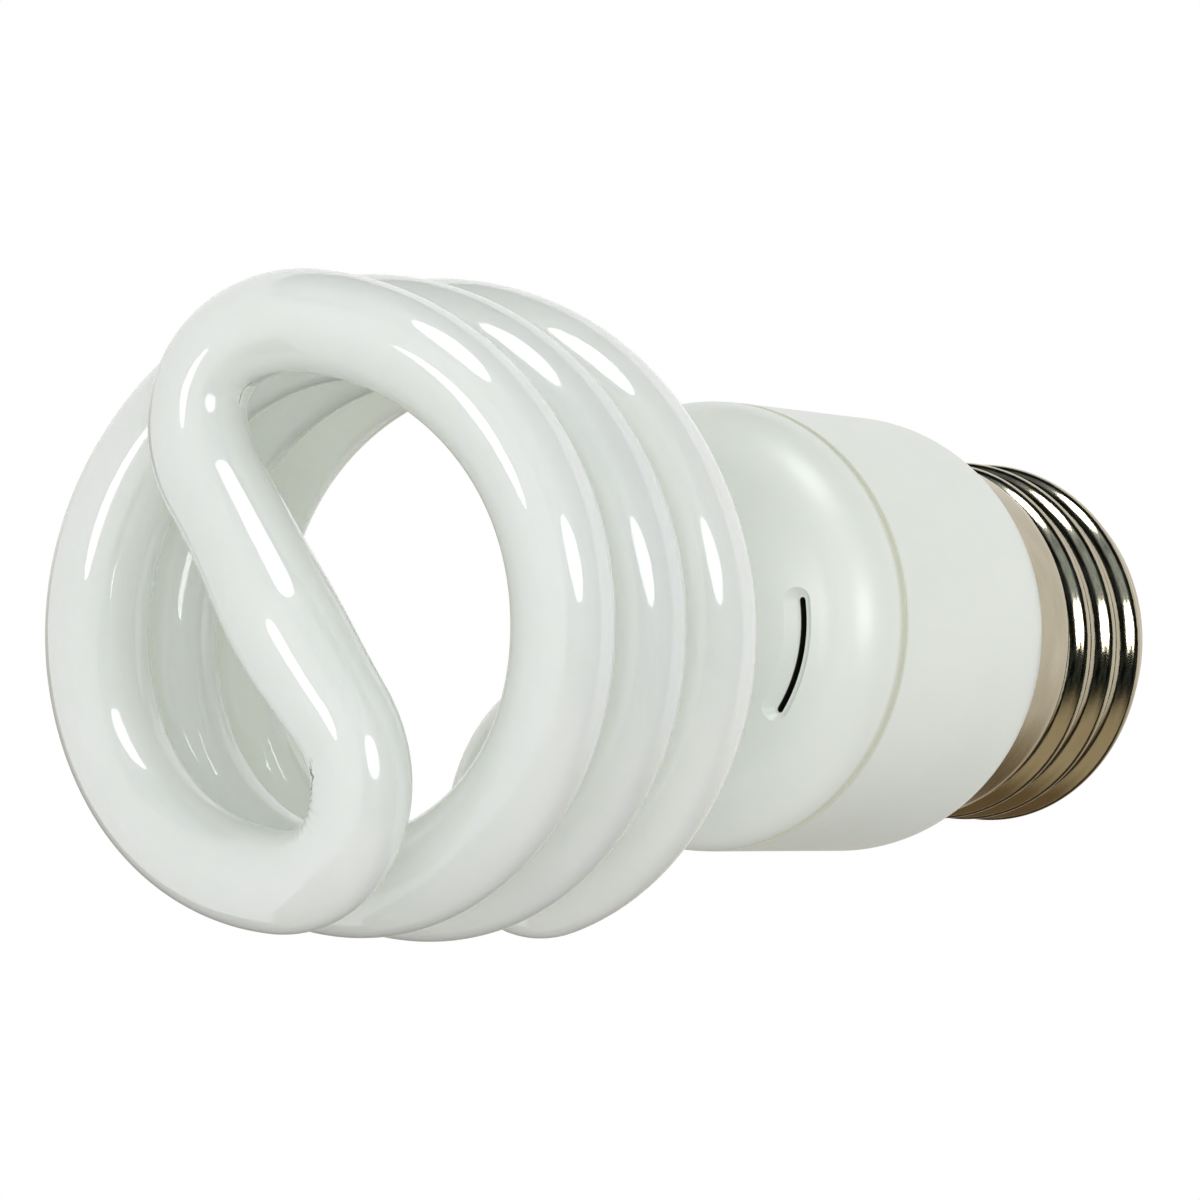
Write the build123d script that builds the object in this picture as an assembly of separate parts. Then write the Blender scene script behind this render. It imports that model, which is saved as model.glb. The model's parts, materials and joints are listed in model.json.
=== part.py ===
from build123d import *
import math
import os

os.makedirs("parts", exist_ok=True)

# Frame: millimetres, +Z along the lamp from the base contact to the tip of the coil.
# The origin is the lowest point of the centre contact, on the lamp's axis.

# Clearances, and how far a lead or weld runs into the piece it belongs to
slide_fit = 0.1
glue_fit = 0.15
wire_fit = 0.1
sink = 0.2
cut_margin = 1.0

# Discharge tube: a double spiral of glass tube with one bridge across its tip
tube_radius = 3.55
coil_radius = 18.85
coil_flare = 1.4
coil_pitch = 16.95
coil_turns = 1.443
coil_rise = 53.3
coil_top_angle = 86.3
bridge_lead = 38.0
curl_heading = 114.3
curl_dip = 10.4
curl_radius = 5.26
drop_radius = 7.44
leg_rise = 1.2
cement_width = 1.3
cement_depth = 2.2

# Upper housing
seam_z = 46.6
seam_gap = 0.8
seam_inset = 0.25
cap_flat_radius = 11.2
cap_turn = 125.0
dome_radius = 60.0
cap_wall = 1.5
spigot_wall = 1.0
spigot_length = 3.3
vent_inset = 5.3
vent_width = 0.5
vent_arc = 43.0
vent_middle_angle = -12.4
vent_dish_width = 0.9
vent_dish_depth = 0.25
vent_dish_slope = 50.0

# Lower housing
body_radius = 16.0
body_draft = 0.3
body_wall = 2.0
shoulder_z = 29.8
shoulder_round = 8.1
ledge_width = 0.7
mouth_radius = 13.35
neck_radius = 12.0
neck_bore = 10.4
neck_bottom_z = 18.3

# Screw shell, an E26 base with seven threads to the inch
thread_pitch = 3.629
crest_radius = 13.1
valley_radius = 12.35
ridge_radius = 1.55
lowest_crest_z = 9.17
ridge_start_angle = -150.0
ridge_end_angle = 820.0
collar_radius = 13.1
collar_bottom_z = 18.2
collar_slope = 0.8
shell_bore = 11.4
shell_taper_z = 7.4
shell_lip_z = 4.4
shell_lip_radius = 9.9
shell_mouth_radius = 9.4
shell_seat_height = 1.6

# Insulator and centre contact
insulator_top_z = 8.0
insulator_tip_z = 1.8
insulator_tip_radius = 5.2
wire_hole_radius = 1.3
contact_radius = 4.7
contact_round = 0.8
contact_flange_z = 0.8
rivet_radius = 1.1
rivet_top_z = 4.0
solder_radius = 2.6
solder_side_radius = 1.612
solder_side_z = 0.192

# Circuit board, the pins on it and the tube's leads wrapped round them
board_thickness = 1.2
board_hole_radius = 0.6
lead_radius = 0.3
pin_width = 0.9
pin_height = 2.9
pin_offset = 1.6
pin_inset = 1.0
electrode_lead_radius = 0.25
wrap_width = 0.7
wrap_height = 0.6
wrap_drop = 1.7
wrap_step = 0.8
wrap_turns = 2

# The parts on the board are drawn for a housing of this bore, and are scaled to the one they are in
drawn_bore = 13.7

# Electrolytic capacitor, standing down into the base
can_radius = 5.0
can_bottom_z = 9.9
can_height = 18.0
can_round = 0.6
can_lead_offset = 1.25

# Choke
choke_x = 7.5
choke_y = 0.0
choke_width = 8.0
choke_depth = 11.0
choke_height = 10.6
choke_limb = 2.0
choke_stem = 3.0
bobbin_wall = 0.6
bobbin_flange = 1.7
winding_width = 1.0

# Film capacitors
film_round = 0.5
film_lead_inset = 1.2
board_standoff = 0.6
resonance_place = (-4.6, 0.0)
resonance_size = (3.4, 8.6, 8.0)
filter_place = (-9.3, 0.0)
filter_size = (3.0, 7.0, 6.5)

# Transistors
transistor_radius = 2.35
transistor_height = 4.6
transistor_flat = 1.1
transistor_standoff = 3.0
transistor_lead_pitch = 1.27
transistor_lead_y = 0.3
transistor_high_place = (-6.2, 8.0)
transistor_low_place = (-6.2, -7.4)

# Drive toroid and its winding
toroid_outer = 2.6
toroid_inner = 1.4
toroid_height = 2.2
toroid_round = 0.25
toroid_depth = 2.2
toroid_place = (5.2, 9.0)
winding_turns = 6
winding_step = 40.0
tie_outer = 2.3
tie_inner = 1.7
tie_height = 0.4

# Filter inductor
drum_flange_radius = 2.7
drum_radius = 2.3
drum_height = 8.0
drum_flange = 1.0
drum_lead_offset = 1.6
drum_place = (5.0, -8.8)

# Diodes, resistors and the diac: radius and length of each, and where it lies
axial_gap = 0.2
axial_lead_reach = 0.5
axial_round = 0.3
diode_size = (1.1, 3.6)
diode_x = -7.6
diode_ys = (-4.5, -1.5, 1.5, 4.5)
fuse_size = (1.2, 4.2)
fuse_place = (3.8, -3.4)
resistor_size = (0.9, 3.4)
resistor_low_place = (3.8, -0.4)
resistor_high_place = (8.6, -5.4)
resistor_high_angle = 60.0
diac_size = (0.8, 3.0)
diac_place = (8.8, 0.6)
diac_angle = 90.0

# Thermistor
disc_radius = 1.9
disc_thickness = 1.6
disc_round = 0.5
disc_height = 2.4
disc_lead_offset = 1.0
thermistor_place = (-2.4, 2.2)

# Supply wires
supply_wire_radius = 0.5
supply_wire_gap = 0.4
supply_wire_bend = 1.2
neutral_joint_z = 11.0
neutral_bend_z = 14.0
neutral_neck_z = 17.2

# Derived places
leg_end_z = seam_z + leg_rise
coil_top_z = seam_z + coil_rise
shoulder_radius = body_radius - body_draft
body_bore = shoulder_radius - body_wall
rim_bore = body_bore + ledge_width
spigot_radius = rim_bore - slide_fit
cavity_radius = spigot_radius - spigot_wall
seam_radius = body_radius - seam_inset
vent_ring_radius = body_radius - vent_inset
board_radius = spigot_radius - slide_fit
cap_round = body_radius - cap_flat_radius
cap_bottom_z = seam_z + seam_gap
cap_ceiling_z = cap_bottom_z + cap_round - cap_wall
vent_dish_floor_z = cap_bottom_z + cap_round - vent_dish_depth
spigot_bottom_z = seam_z - spigot_length
board_top_z = spigot_bottom_z - slide_fit / 2
board_bottom_z = board_top_z - board_thickness
ledge_z = board_bottom_z - slide_fit / 2
shoulder_centre_r = shoulder_radius - shoulder_round
mouth_z = shoulder_z - math.sqrt(shoulder_round**2 - (mouth_radius - shoulder_centre_r) ** 2)
collar_top_z = mouth_z - slide_fit
supply_wire_reach = neck_bore - supply_wire_radius - supply_wire_gap
choke_bottom_z = board_bottom_z - choke_height
choke_stem_width = choke_width - 2 * choke_limb


def save(shape, name):
    shape.label = name
    export_step(shape, f"parts/{name}.step")


def save_fitted(shape, name, z):
    # Scaled about the axis at the height of the board's face that it stands on.
    size = body_bore / drawn_bore
    save(Pos(0, 0, z * (1 - size)) * scale(shape, by=size), name)


def polar(radius, angle, z=0.0):
    a = math.radians(angle)
    return Vector(radius * math.cos(a), radius * math.sin(a), z)


def revolved(*edges):
    return revolve(make_face(Plane.XZ * Curve(list(edges))), Axis.Z)


def post(radius, x, y, z0, z1):
    return Pos(x, y, z0) * Cylinder(radius, z1 - z0, align=(Align.CENTER, Align.CENTER, Align.MIN))


def ring(outer, inner, z0, z1):
    return post(outer, 0, 0, z0, z1) - post(inner, 0, 0, z0 - cut_margin, z1 + cut_margin)


def block(size, x, y, z0):
    return Pos(x, y, z0) * Box(*size, align=(Align.CENTER, Align.CENTER, Align.MIN))


def turn_arc(start, heading, goal, radius):
    # An arc that leaves start along heading and ends pointing along goal.
    angle = math.acos(heading.dot(goal))
    inward = (goal - heading * math.cos(angle)) / math.sin(angle)

    def at(t):
        return start + (heading * math.sin(t) + inward * (1 - math.cos(t))) * radius

    return ThreePointArc(start, at(angle / 2), at(angle)), at(angle)


def tube_path():
    # One half of the centre-line, from the foot of a leg up to the middle of the bridge.
    height = coil_pitch * coil_turns
    top = Plane(origin=(0, 0, coil_top_z), x_dir=polar(1, coil_top_angle), z_dir=(0, 0, -1))
    spiral = top * Helix(coil_pitch, height, coil_radius, cone_angle=coil_flare)
    upper, lower = spiral @ 0, spiral @ 1
    up_heading, down_heading = (spiral % 0) * -1, spiral % 1

    # The bend at the tip ends level and pointing at the axis, which sets its radius.
    bridge_angle = coil_top_angle + bridge_lead
    across = polar(-1, bridge_angle)
    side = polar(1, bridge_angle + 90)
    turn = math.acos(up_heading.dot(across))
    inward = (across - up_heading * math.cos(turn)) / math.sin(turn)
    reach = up_heading * math.sin(turn) + inward * (1 - math.cos(turn))
    tip_bend, bridge_start = turn_arc(upper, up_heading, across, -upper.dot(side) / reach.dot(side))
    bridge = Line(bridge_start, (0, 0, bridge_start.Z))

    # The leg curls inward and dips, then drops straight down.
    lower_angle = math.degrees(math.atan2(lower.Y, lower.X))
    dip = math.radians(curl_dip)
    inward_heading = polar(-math.cos(dip), lower_angle + 90 - curl_heading, -math.sin(dip))
    curl, curl_end = turn_arc(lower, down_heading, inward_heading, curl_radius)
    drop, leg_top = turn_arc(curl_end, inward_heading, Vector(0, 0, -1), drop_radius)
    foot = Vector(leg_top.X, leg_top.Y, leg_end_z)
    leg = Line(leg_top, foot)
    return [leg, drop, curl, spiral, tip_bend, bridge], foot


half_path, leg_foot = tube_path()
leg_radius = math.hypot(leg_foot.X, leg_foot.Y)
leg_angle = math.degrees(math.atan2(leg_foot.Y, leg_foot.X))
leg_angles = (leg_angle, leg_angle + 180)


def discharge_tube():
    edges = []
    for turn in (0, 180):
        for piece in half_path:
            edges += (Rot(0, 0, turn) * piece).edges()
    path = Wire(edges)
    start = Plane(origin=path @ 0, z_dir=path % 0)
    return sweep(start * Circle(tube_radius), path=path)


def vents(width, z0, z1, slope=0.0):
    arc = CenterArc((0, 0), vent_ring_radius, vent_middle_angle - vent_arc / 2, vent_arc)
    slot = Pos(0, 0, z0) * extrude(SlotArc(arc, width), z1 - z0, taper=-slope)
    return slot + Rot(0, 0, 180) * slot


def upper_housing():
    # The outside is a wide shallow dome that runs into a rounded edge without a break.
    lean = math.degrees(math.asin(cap_flat_radius / (dome_radius - cap_round)))
    dome_centre_z = cap_bottom_z - (dome_radius - cap_round) * math.cos(math.radians(lean))
    dome_z = dome_centre_z + dome_radius
    inner_round = cavity_radius - cap_flat_radius
    skin = [
        Line((cavity_radius, spigot_bottom_z), (spigot_radius, spigot_bottom_z)),
        Line((spigot_radius, spigot_bottom_z), (spigot_radius, seam_z)),
        Line((spigot_radius, seam_z), (seam_radius, seam_z)),
        Line((seam_radius, seam_z), (seam_radius, cap_bottom_z)),
        Line((seam_radius, cap_bottom_z), (body_radius, cap_bottom_z)),
        CenterArc((cap_flat_radius, cap_bottom_z), cap_round, 0, 90 - lean),
        CenterArc((0, dome_centre_z), dome_radius, 90 - lean, lean),
        Line((0, dome_z), (0, cap_ceiling_z)),
        Line((0, cap_ceiling_z), (cap_flat_radius, cap_ceiling_z)),
        CenterArc((cap_flat_radius, cap_ceiling_z - inner_round), inner_round, 0, 90),
        Line((cavity_radius, cap_ceiling_z - inner_round), (cavity_radius, spigot_bottom_z)),
    ]
    cap = Rot(0, 0, vent_middle_angle + cap_turn) * revolved(*skin)
    cut_top_z = dome_z + cut_margin
    for angle in leg_angles:
        p = polar(leg_radius, angle)
        cap -= post(tube_radius + glue_fit, p.X, p.Y, cap_bottom_z, cut_top_z)
    cap -= vents(vent_width, cap_bottom_z, cut_top_z)
    return cap - vents(vent_dish_width, vent_dish_floor_z, cut_top_z, vent_dish_slope)


def lower_housing():
    inner_round = shoulder_round - (shoulder_radius - body_bore)
    outer_turn = math.degrees(math.acos((mouth_radius - shoulder_centre_r) / shoulder_round))
    inner_turn = math.degrees(math.acos((neck_bore - shoulder_centre_r) / inner_round))
    inner_z = shoulder_z - inner_round * math.sin(math.radians(inner_turn))
    skin = [
        Line((rim_bore, seam_z), (body_radius, seam_z)),
        Line((body_radius, seam_z), (shoulder_radius, shoulder_z)),
        CenterArc((shoulder_centre_r, shoulder_z), shoulder_round, -outer_turn, outer_turn),
        Line((mouth_radius, mouth_z), (neck_radius, mouth_z)),
        Line((neck_radius, mouth_z), (neck_radius, neck_bottom_z)),
        Line((neck_radius, neck_bottom_z), (neck_bore, neck_bottom_z)),
        Line((neck_bore, neck_bottom_z), (neck_bore, inner_z)),
        CenterArc((shoulder_centre_r, shoulder_z), inner_round, -inner_turn, inner_turn),
        Line((body_bore, shoulder_z), (body_bore, ledge_z)),
        Line((body_bore, ledge_z), (rim_bore, ledge_z)),
        Line((rim_bore, ledge_z), (rim_bore, seam_z)),
    ]
    return revolved(*skin)


def screw_shell():
    collar_bore = neck_radius + slide_fit
    step_z = neck_bottom_z - slide_fit
    seat_z = insulator_top_z - shell_seat_height
    skin = [
        Line((shell_mouth_radius, shell_lip_z), (shell_lip_radius, shell_lip_z)),
        Line((shell_lip_radius, shell_lip_z), (valley_radius, shell_taper_z)),
        Line((valley_radius, shell_taper_z), (valley_radius, collar_bottom_z - collar_slope)),
        Line((valley_radius, collar_bottom_z - collar_slope), (collar_radius, collar_bottom_z)),
        Line((collar_radius, collar_bottom_z), (collar_radius, collar_top_z)),
        Line((collar_radius, collar_top_z), (collar_bore, collar_top_z)),
        Line((collar_bore, collar_top_z), (collar_bore, step_z)),
        Line((collar_bore, step_z), (shell_bore, step_z)),
        Line((shell_bore, step_z), (shell_bore, insulator_top_z)),
        Line((shell_bore, insulator_top_z), (shell_mouth_radius, seat_z)),
        Line((shell_mouth_radius, seat_z), (shell_mouth_radius, shell_lip_z)),
    ]
    ridge_line = crest_radius - ridge_radius
    start_z = lowest_crest_z + thread_pitch * ridge_start_angle / 360
    height = thread_pitch * (ridge_end_angle - ridge_start_angle) / 360
    path = Pos(0, 0, start_z) * Rot(0, 0, ridge_start_angle) * Helix(thread_pitch, height, ridge_line)
    section = Plane(origin=path @ 0, z_dir=path % 0) * Circle(ridge_radius)
    ridge = sweep(section, path=path, is_frenet=True)
    for end in (path @ 0, path @ 1):
        ridge += Pos(end) * Sphere(ridge_radius)
    ridge -= post(shell_bore, 0, 0, 0, collar_top_z)
    ridge -= post(collar_bore, 0, 0, step_z, collar_top_z)
    return revolved(*skin) + ridge


def base_insulator():
    plug_radius = shell_mouth_radius - slide_fit
    skin = [
        Line((wire_hole_radius, insulator_tip_z), (insulator_tip_radius, insulator_tip_z)),
        Line((insulator_tip_radius, insulator_tip_z), (plug_radius, shell_lip_z - slide_fit)),
        Line((plug_radius, shell_lip_z - slide_fit), (plug_radius, insulator_top_z)),
        Line((plug_radius, insulator_top_z), (wire_hole_radius, insulator_top_z)),
        Line((wire_hole_radius, insulator_top_z), (wire_hole_radius, insulator_tip_z)),
    ]
    return revolved(*skin)


def centre_contact():
    flat_radius = contact_radius - contact_round
    side_z = contact_flange_z + contact_round
    flange = [
        Line((0, contact_flange_z), (flat_radius, contact_flange_z)),
        RadiusArc((flat_radius, contact_flange_z), (contact_radius, side_z), -contact_round),
        Line((contact_radius, side_z), (contact_radius, insulator_tip_z)),
        Line((contact_radius, insulator_tip_z), (0, insulator_tip_z)),
        Line((0, insulator_tip_z), (0, contact_flange_z)),
    ]
    return revolved(*flange) + post(rivet_radius, 0, 0, insulator_tip_z - sink, rivet_top_z)


def contact_solder():
    side = (solder_side_radius, solder_side_z)
    drop = [
        ThreePointArc((0, 0), side, (solder_radius, contact_flange_z)),
        Line((solder_radius, contact_flange_z), (0, contact_flange_z)),
        Line((0, contact_flange_z), (0, 0)),
    ]
    return revolved(*drop)


def circuit_board():
    return ring(board_radius, board_hole_radius, board_bottom_z, board_top_z)


def leg_cement(angle):
    # A ring of cement round the leg under the cap's ceiling, kept off the cap's rounded edge.
    p = polar(leg_radius, angle)
    bottom = cap_ceiling_z - cement_depth
    pad = post(tube_radius + cement_width, p.X, p.Y, bottom, cap_ceiling_z)
    pad &= post(cap_flat_radius, 0, 0, bottom - cut_margin, cap_ceiling_z + cut_margin)
    bore = post(tube_radius + glue_fit, p.X, p.Y, bottom - cut_margin, cap_ceiling_z + cut_margin)
    return pad - bore


def pin_places():
    places = []
    for angle in leg_angles:
        p = polar(leg_radius - pin_inset, angle)
        side = polar(pin_offset, angle + 90)
        places += [(p.X + side.X, p.Y + side.Y), (p.X - side.X, p.Y - side.Y)]
    return places


def wrap_pin(x, y):
    return block((pin_width, pin_width, pin_height), x, y, board_top_z)


def electrode_lead(x, y):
    # A straight lead out of the leg, with flat turns wrapped round the pin below it.
    inner = pin_width * math.sqrt(0.5) + wire_fit
    outer = inner + wrap_width
    wrap_z = board_top_z + pin_height - wrap_drop
    lead = post(electrode_lead_radius, x + (inner + outer) / 2, y, wrap_z + sink, leg_end_z)
    for k in range(wrap_turns):
        z = wrap_z + k * wrap_step
        lead += Pos(x, y, 0) * ring(outer, inner, z, z + wrap_height)
    return lead


def electrolytic_capacitor():
    top = can_bottom_z + can_height
    can = fillet(post(can_radius, 0, 0, can_bottom_z, top).edges(), can_round)
    for side in (-1, 1):
        can += post(lead_radius, side * can_lead_offset, 0, top - sink, board_bottom_z)
    return can


def choke_core():
    core = block((choke_stem_width, choke_depth, choke_height), choke_x, choke_y, choke_bottom_z)
    window = (choke_depth - 2 * choke_limb - choke_stem) / 2
    window_size = (choke_width, window, choke_height - 2 * choke_limb)
    for side in (-1, 1):
        y = choke_y + side * (choke_stem + window) / 2
        core -= block(window_size, choke_x, y, choke_bottom_z + choke_limb)
    return core


def stem_block(margin, height, z):
    # A block round the choke's stem, larger than it by the margin on each side.
    size = (choke_stem_width + 2 * margin, choke_stem + 2 * margin, height)
    return block(size, choke_x, choke_y, z)


def stem_sleeve(inner, outer, end_gap):
    height = choke_height - 2 * choke_limb - 2 * end_gap
    z = choke_bottom_z + choke_limb + end_gap
    return stem_block(outer, height, z) - stem_block(inner, height, z)


def choke_bobbin():
    bobbin = stem_sleeve(slide_fit, bobbin_wall, slide_fit)
    low_z = choke_bottom_z + choke_limb + slide_fit
    high_z = board_bottom_z - choke_limb - slide_fit - bobbin_wall
    flange_size = (choke_width, choke_stem + 2 * bobbin_flange, bobbin_wall)
    for z in (low_z, high_z):
        flange = block(flange_size, choke_x, choke_y, z)
        bobbin += flange - stem_block(slide_fit, bobbin_wall, z)
    return bobbin


def choke_winding():
    end_gap = bobbin_wall + 2 * slide_fit
    return stem_sleeve(bobbin_wall + slide_fit, bobbin_wall + winding_width, end_gap)


def with_leads(body, x, y, z_from, offset, along_x=True):
    z_to = board_bottom_z if z_from < board_bottom_z else board_top_z
    for side in (-1, 1):
        dx, dy = (side * offset, 0) if along_x else (0, side * offset)
        body += post(lead_radius, x + dx, y + dy, min(z_from, z_to), max(z_from, z_to))
    return body


def film_capacitor(x, y, size):
    top_z = board_bottom_z - board_standoff
    body = fillet(block(size, x, y, top_z - size[2]).edges(), film_round)
    return with_leads(body, x, y, top_z - sink, size[1] / 2 - film_lead_inset, along_x=False)


def transistor(x, y):
    top_z = board_bottom_z - transistor_standoff
    bottom_z = top_z - transistor_height
    flat_size = (2 * transistor_radius + cut_margin, transistor_radius, transistor_height + 2 * cut_margin)
    flat_y = y - transistor_flat - transistor_radius / 2
    body = post(transistor_radius, x, y, bottom_z, top_z)
    body -= block(flat_size, x, flat_y, bottom_z - cut_margin)
    for k in (-1, 0, 1):
        lead_x = x + transistor_lead_pitch * k
        body += post(electrode_lead_radius, lead_x, y + transistor_lead_y, top_z - sink, board_bottom_z)
    return body


def toroid(x, y):
    half = toroid_height / 2
    core = Pos(x, y, board_bottom_z - toroid_depth) * ring(toroid_outer, toroid_inner, -half, half)
    return fillet(core.edges(), toroid_round)


def toroid_winding(x, y):
    # Square loops round the core's section, joined by a ring of cement over them.
    middle = (toroid_outer + toroid_inner) / 2
    width = toroid_outer - toroid_inner + 2 * wire_fit
    height = toroid_height + 2 * wire_fit
    section = Rectangle(width + 2 * lead_radius, height + 2 * lead_radius) - Rectangle(width, height)
    place = Pos(x, y, board_bottom_z - toroid_depth)
    tie_z = height / 2 + lead_radius - tie_height / 2
    turns = place * ring(tie_outer, tie_inner, tie_z, tie_z + tie_height)
    for k in range(winding_turns):
        angle = k * winding_step
        plane = Plane(origin=polar(middle, angle), z_dir=polar(1, angle + 90))
        turns += place * extrude(plane * section, lead_radius, both=True)
    for k in (0, winding_turns - 1):
        p = polar(middle, k * winding_step)
        turns += place * post(lead_radius, p.X, p.Y, height / 2, toroid_depth)
    return turns


def drum_inductor(x, y):
    top_z = board_bottom_z - board_standoff
    bottom_z = top_z - drum_height
    body = post(drum_radius, x, y, bottom_z + sink, top_z - sink)
    for z in (bottom_z, top_z - drum_flange):
        body += post(drum_flange_radius, x, y, z, z + drum_flange)
    return with_leads(body, x, y, top_z - sink, drum_lead_offset)


def axial_part(size, place, angle=0.0):
    radius, length = size
    x, y = place
    z = board_top_z + radius + axial_gap
    reach = length / 2 + axial_lead_reach
    body = Pos(x, y, z) * Rot(0, 0, angle) * Rot(0, 90, 0) * Cylinder(radius, length)
    body = fillet(body.edges(), radius * axial_round)
    for side in (-1, 1):
        p = polar(side * reach, angle)
        lead = Cylinder(lead_radius, reach + 2 * lead_radius)
        body += Pos(x + p.X / 2, y + p.Y / 2, z) * Rot(0, 0, angle) * Rot(0, 90, 0) * lead
        body += post(lead_radius, x + p.X, y + p.Y, board_top_z, z)
    return body


def thermistor(x, y):
    z = board_top_z + disc_height
    disc = Pos(x, y, z) * Rot(90, 0, 0) * Cylinder(disc_radius, disc_thickness)
    return with_leads(fillet(disc.edges(), disc_round), x, y, z, disc_lead_offset)


def supply_wire(points):
    # Straight runs between the points, with the same bend at each corner.
    corners = [Vector(*p) for p in points]
    edges = []
    last = corners[0]
    for before, corner, after in zip(corners, corners[1:], corners[2:]):
        into = (corner - before).normalized()
        out = (after - corner).normalized()
        trim = supply_wire_bend * math.tan(math.radians(into.get_angle(out) / 2))
        entry = corner - into * trim
        edges.append(Line(last, entry))
        arc, last = turn_arc(entry, into, out, supply_wire_bend)
        edges.append(arc)
    edges.append(Line(last, corners[-1]))
    path = Wire([e for piece in edges for e in piece.edges()])
    return sweep(Plane(origin=path @ 0, z_dir=path % 0) * Circle(supply_wire_radius), path=path)


def live_wire():
    level = insulator_top_z + supply_wire_radius + wire_fit
    far = supply_wire_reach
    return supply_wire(
        [(0, 0, rivet_top_z), (0, 0, level), (0, far, level), (0, far, board_bottom_z)]
    )


def neutral_wire():
    wall_y = supply_wire_radius - shell_bore
    far = -supply_wire_reach
    start = [(0, wall_y, neutral_joint_z), (0, wall_y, neutral_bend_z)]
    return supply_wire(start + [(0, far, neutral_neck_z), (0, far, board_bottom_z)])


save(discharge_tube(), "discharge_tube")
save(upper_housing(), "upper_housing")
save(lower_housing(), "lower_housing")
save(screw_shell(), "screw_shell")
save(base_insulator(), "base_insulator")
save(centre_contact(), "centre_contact")
save(contact_solder(), "contact_solder")
save(circuit_board(), "circuit_board")
for name, angle in zip("ab", leg_angles):
    save(leg_cement(angle), f"leg_cement_{name}")
for name, place in zip("abcd", pin_places()):
    save(wrap_pin(*place), f"wrap_pin_{name}")
    save(electrode_lead(*place), f"electrode_lead_{name}")
save(electrolytic_capacitor(), "electrolytic_capacitor")
below = board_bottom_z
save_fitted(choke_core(), "choke_core", below)
save_fitted(choke_bobbin(), "choke_bobbin", below)
save_fitted(choke_winding(), "choke_winding", below)
save_fitted(film_capacitor(*resonance_place, resonance_size), "resonance_capacitor", below)
save_fitted(film_capacitor(*filter_place, filter_size), "filter_capacitor", below)
save_fitted(transistor(*transistor_high_place), "transistor_high", below)
save_fitted(transistor(*transistor_low_place), "transistor_low", below)
save_fitted(toroid(*toroid_place), "drive_toroid", below)
save_fitted(toroid_winding(*toroid_place), "drive_winding", below)
save_fitted(drum_inductor(*drum_place), "filter_inductor", below)
above = board_top_z
for name, y in zip("abcd", diode_ys):
    save_fitted(axial_part(diode_size, (diode_x, y)), f"bridge_diode_{name}", above)
save_fitted(axial_part(fuse_size, fuse_place), "fuse_resistor", above)
save_fitted(axial_part(resistor_size, resistor_low_place), "base_resistor_low", above)
save_fitted(axial_part(resistor_size, resistor_high_place, resistor_high_angle), "base_resistor_high", above)
save_fitted(axial_part(diac_size, diac_place, diac_angle), "trigger_diac", above)
save_fitted(thermistor(*thermistor_place), "preheat_thermistor", above)
save(live_wire(), "live_wire")
save(neutral_wire(), "neutral_wire")
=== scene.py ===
import json
import math

import bmesh
import bpy
import numpy as np
from mathutils import Matrix, Vector


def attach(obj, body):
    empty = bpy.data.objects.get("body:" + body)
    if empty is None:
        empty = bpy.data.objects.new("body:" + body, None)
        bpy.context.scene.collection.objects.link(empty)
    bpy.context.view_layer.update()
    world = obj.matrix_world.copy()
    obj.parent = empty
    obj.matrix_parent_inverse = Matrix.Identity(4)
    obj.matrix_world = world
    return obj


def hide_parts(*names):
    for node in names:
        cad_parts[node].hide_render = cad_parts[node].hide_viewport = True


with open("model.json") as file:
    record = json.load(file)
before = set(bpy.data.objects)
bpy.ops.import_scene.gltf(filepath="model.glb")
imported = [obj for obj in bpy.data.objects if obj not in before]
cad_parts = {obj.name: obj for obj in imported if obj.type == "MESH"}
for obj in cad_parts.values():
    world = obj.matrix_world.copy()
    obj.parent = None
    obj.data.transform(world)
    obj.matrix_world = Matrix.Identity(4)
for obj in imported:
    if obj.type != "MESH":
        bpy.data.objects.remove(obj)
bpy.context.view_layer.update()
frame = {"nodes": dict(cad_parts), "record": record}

MM = 0.001

# The camera stands where the photograph was taken from: a long lens, about 0.9 m away.
FOCAL_PX = 12000.0
FRAME_PX = 1200.0
SENSOR_MM = 36.0
LAMP_TILT = 0.573
LAMP_SWING = 0.061
LAMP_IN_VIEW = Vector((18.825, 2.54, 870.261))
VIEW_PIVOT = Vector((0, 0, 27.0))

# Discharge tube
TUBE_R = 3.55
COIL_R = 18.85
COIL_FLARE = math.radians(1.4)
COIL_PITCH = 16.95
COIL_TURNS = 1.443
COIL_TOP_Z = 99.9
COIL_TOP_ANGLE = 86.3
BRIDGE_LEAD = 38.0
CURL_HEADING = 114.3
CURL_DIP = 10.4
CURL_R = 5.26
DROP_R = 7.44
LEG_END_Z = 47.8
TUBE_STEP = 0.42
TIP_STEP = 0.16
TUBE_SIDES = 56

# What the glass blower's bench leaves on the tip: a bowed, swollen bridge and bends pinched on the inside.
TIP_MIDDLE = 2.0
ARCH = 0.42
ARCH_HALF = 12.0
ARCH_END = 32.0
SWELL = 0.40
SWELL_LENGTH = 5.5
BUMP = 0.13
BUMP_LENGTH = 1.9
BUMP_SIDE = (0.32, 0.22, 0.92)
BEND_MIDDLE = 17.2
BEND_SHIFT = (0.8, 0.25)
BEND_SHIFT_LENGTH = 8.0
PINCH = 0.75
PINCH_LENGTH = 4.6
RIPPLE = (0.015, 0.075)
RIPPLE_RISE = (0.0, 1.0)
RIPPLE_SPACING = 0.75
RIPPLE_LENGTH = 2.4
WAVE = 0.028
WAVE_ALONG = (0.31, 0.173)
WAVE_AROUND = (3, 2)
WAVE_SHIFTS = (0.7, 2.0)
WAVE_FADE = (30.0, 0.8)
FOLD_MIDDLES = (17.2, 15.6)
FOLD_TURNS = (0.35, 3.4)
FOLD_SLANTS = (0.0, -0.35)
FOLD_SIZES = (0.55, 1.3)
FOLD_REACH = 6.0
FAR_AWAY = 99.0

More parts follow.
